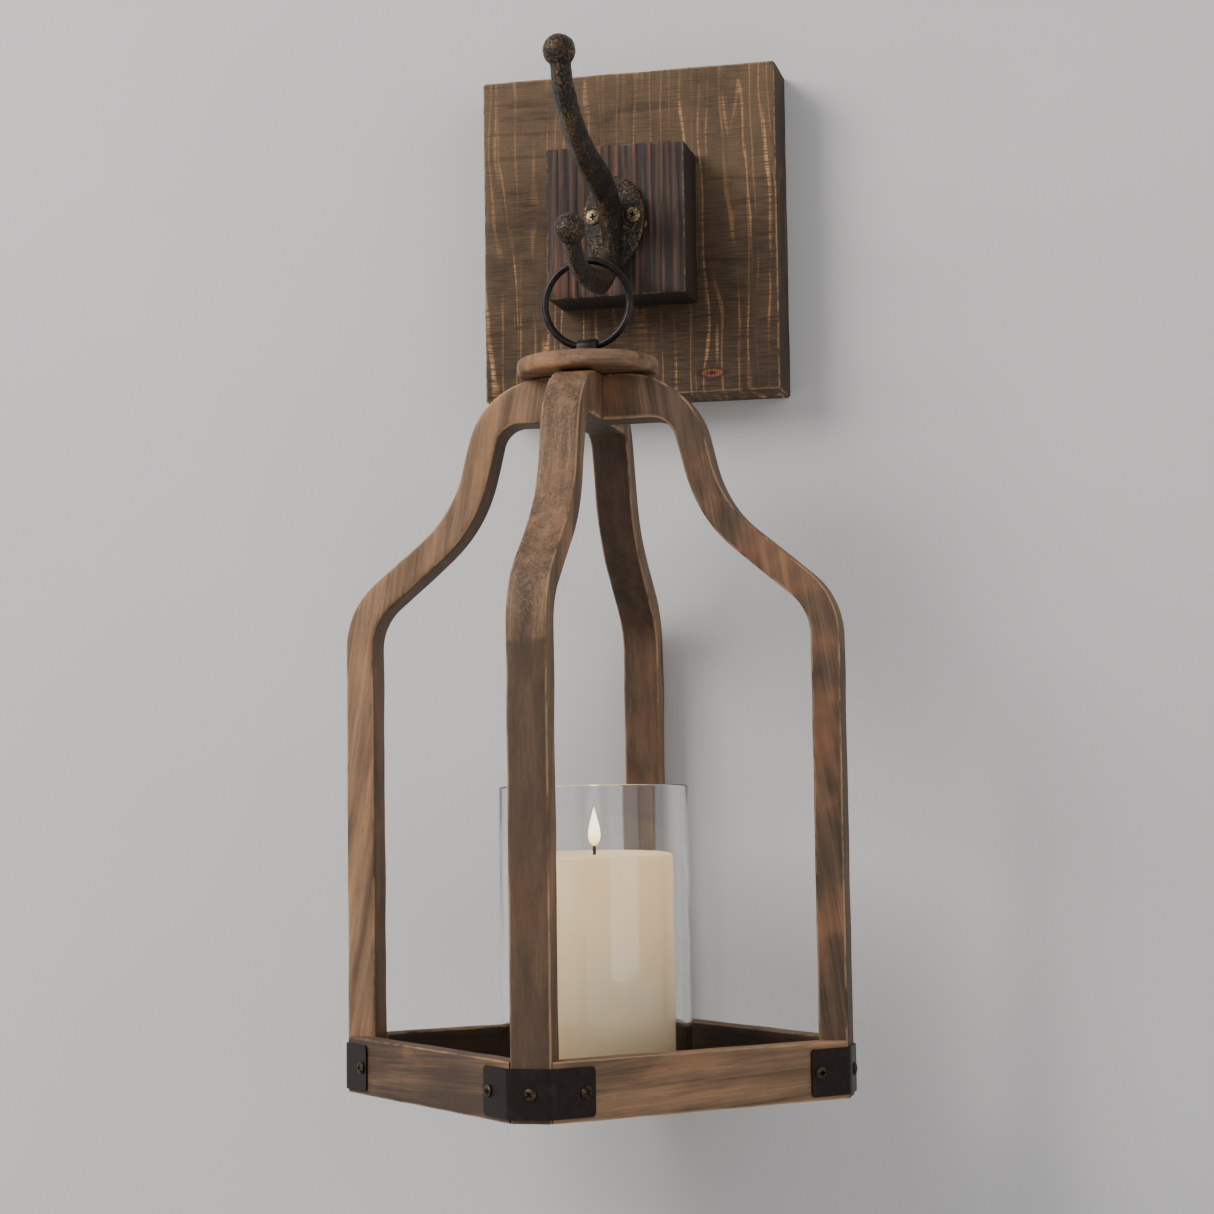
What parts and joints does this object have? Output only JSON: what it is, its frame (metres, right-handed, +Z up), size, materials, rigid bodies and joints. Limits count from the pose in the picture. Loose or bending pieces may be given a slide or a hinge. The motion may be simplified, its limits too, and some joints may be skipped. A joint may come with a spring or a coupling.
{
  "type": "wall sconce candle holder",
  "caption": "Wooden lantern with a glass cylinder and pillar candle, hung by a steel ring from a cast iron coat hook on a square wooden wall board.",
  "frame": {"origin": "centre of the board's back face, which lies against the wall", "axes": "+Y into the wall, +Z up, +X to the right as seen from the room; the lantern stands out from the wall towards -Y"},
  "size_m": [0.2526, 0.2558, 0.5297],
  "materials": {
    "board_wood": "rough sawn, dark stain, light saw marks",
    "block_wood": "grooved grain, reddish dark stain",
    "lantern_wood": "sawn, mid brown stain, worn edges",
    "hook_iron": "pitted, dark bronze, rubbed highlights",
    "black_steel": "dark gunmetal, satin",
    "bracket_steel": "dark brown, satin",
    "screw_steel": "aged",
    "clear_glass": "clear, polished",
    "ivory_wax": "smooth wax",
    "charred_cotton": "charred",
    "flame": "glowing, a look only"
  },
  "bodies": {
    "wall_part": {"backboard": "board_wood", "block_screw_1": "screw_steel", "block_screw_2": "screw_steel", "block_screw_3": "screw_steel", "block_screw_4": "screw_steel", "coat_hook": "hook_iron", "hanger_screw_left_lower": "screw_steel", "hanger_screw_left_upper": "screw_steel", "hanger_screw_right_lower": "screw_steel", "hanger_screw_right_upper": "screw_steel", "hook_screw_left": "screw_steel", "hook_screw_right": "screw_steel", "keyhole_hanger_left": "screw_steel", "keyhole_hanger_right": "screw_steel", "mounting_block": "block_wood"},
    "ring": {"hanging_ring": "black_steel"},
    "lantern": {"base_panel": "lantern_wood", "bracket_screw_back_a": "screw_steel", "bracket_screw_back_b": "screw_steel", "bracket_screw_back_middle": "screw_steel", "bracket_screw_front_a": "screw_steel", "bracket_screw_front_b": "screw_steel", "bracket_screw_front_middle": "screw_steel", "bracket_screw_left_a": "screw_steel", "bracket_screw_left_b": "screw_steel", "bracket_screw_left_middle": "screw_steel", "bracket_screw_right_a": "screw_steel", "bracket_screw_right_b": "screw_steel", "bracket_screw_right_middle": "screw_steel", "cap_disc": "lantern_wood", "cap_screw_back": "screw_steel", "cap_screw_front": "screw_steel", "cap_screw_left": "screw_steel", "cap_screw_right": "screw_steel", "corner_bracket_back": "bracket_steel", "corner_bracket_front": "bracket_steel", "corner_bracket_left": "bracket_steel", "corner_bracket_right": "bracket_steel", "leg_back": "lantern_wood", "leg_front": "lantern_wood", "leg_left": "lantern_wood", "leg_right": "lantern_wood", "rail_back_left": "lantern_wood", "rail_back_right": "lantern_wood", "rail_front_left": "lantern_wood", "rail_front_right": "lantern_wood", "ring_saddle": "black_steel", "saddle_screw_back": "screw_steel", "saddle_screw_front": "screw_steel"},
    "glass": {"glass_hurricane": "clear_glass"},
    "candle": {"candle": "ivory_wax", "wick": "charred_cotton"}
  },
  "joints": [
    {"name": "ring_sway", "type": "hinge", "parent": "wall_part", "child": "ring", "pos_m": [0, -0.12944, -0.0423], "axis": [0, 1, 0], "range_deg": [-20, 20]},
    {"name": "lantern_swing", "type": "hinge", "parent": "ring", "child": "lantern", "pos_m": [0, -0.12944, -0.07795], "axis": [1, 0, 0], "range_deg": [-25, 0.3]},
    {"name": "glass_lift", "type": "slide", "parent": "lantern", "child": "glass", "axis": [0, 0, 1], "range_m": [0, 0.05]},
    {"name": "candle_lift", "type": "slide", "parent": "glass", "child": "candle", "axis": [0, 0, 1], "range_m": [0, 0.14]}
  ]
}
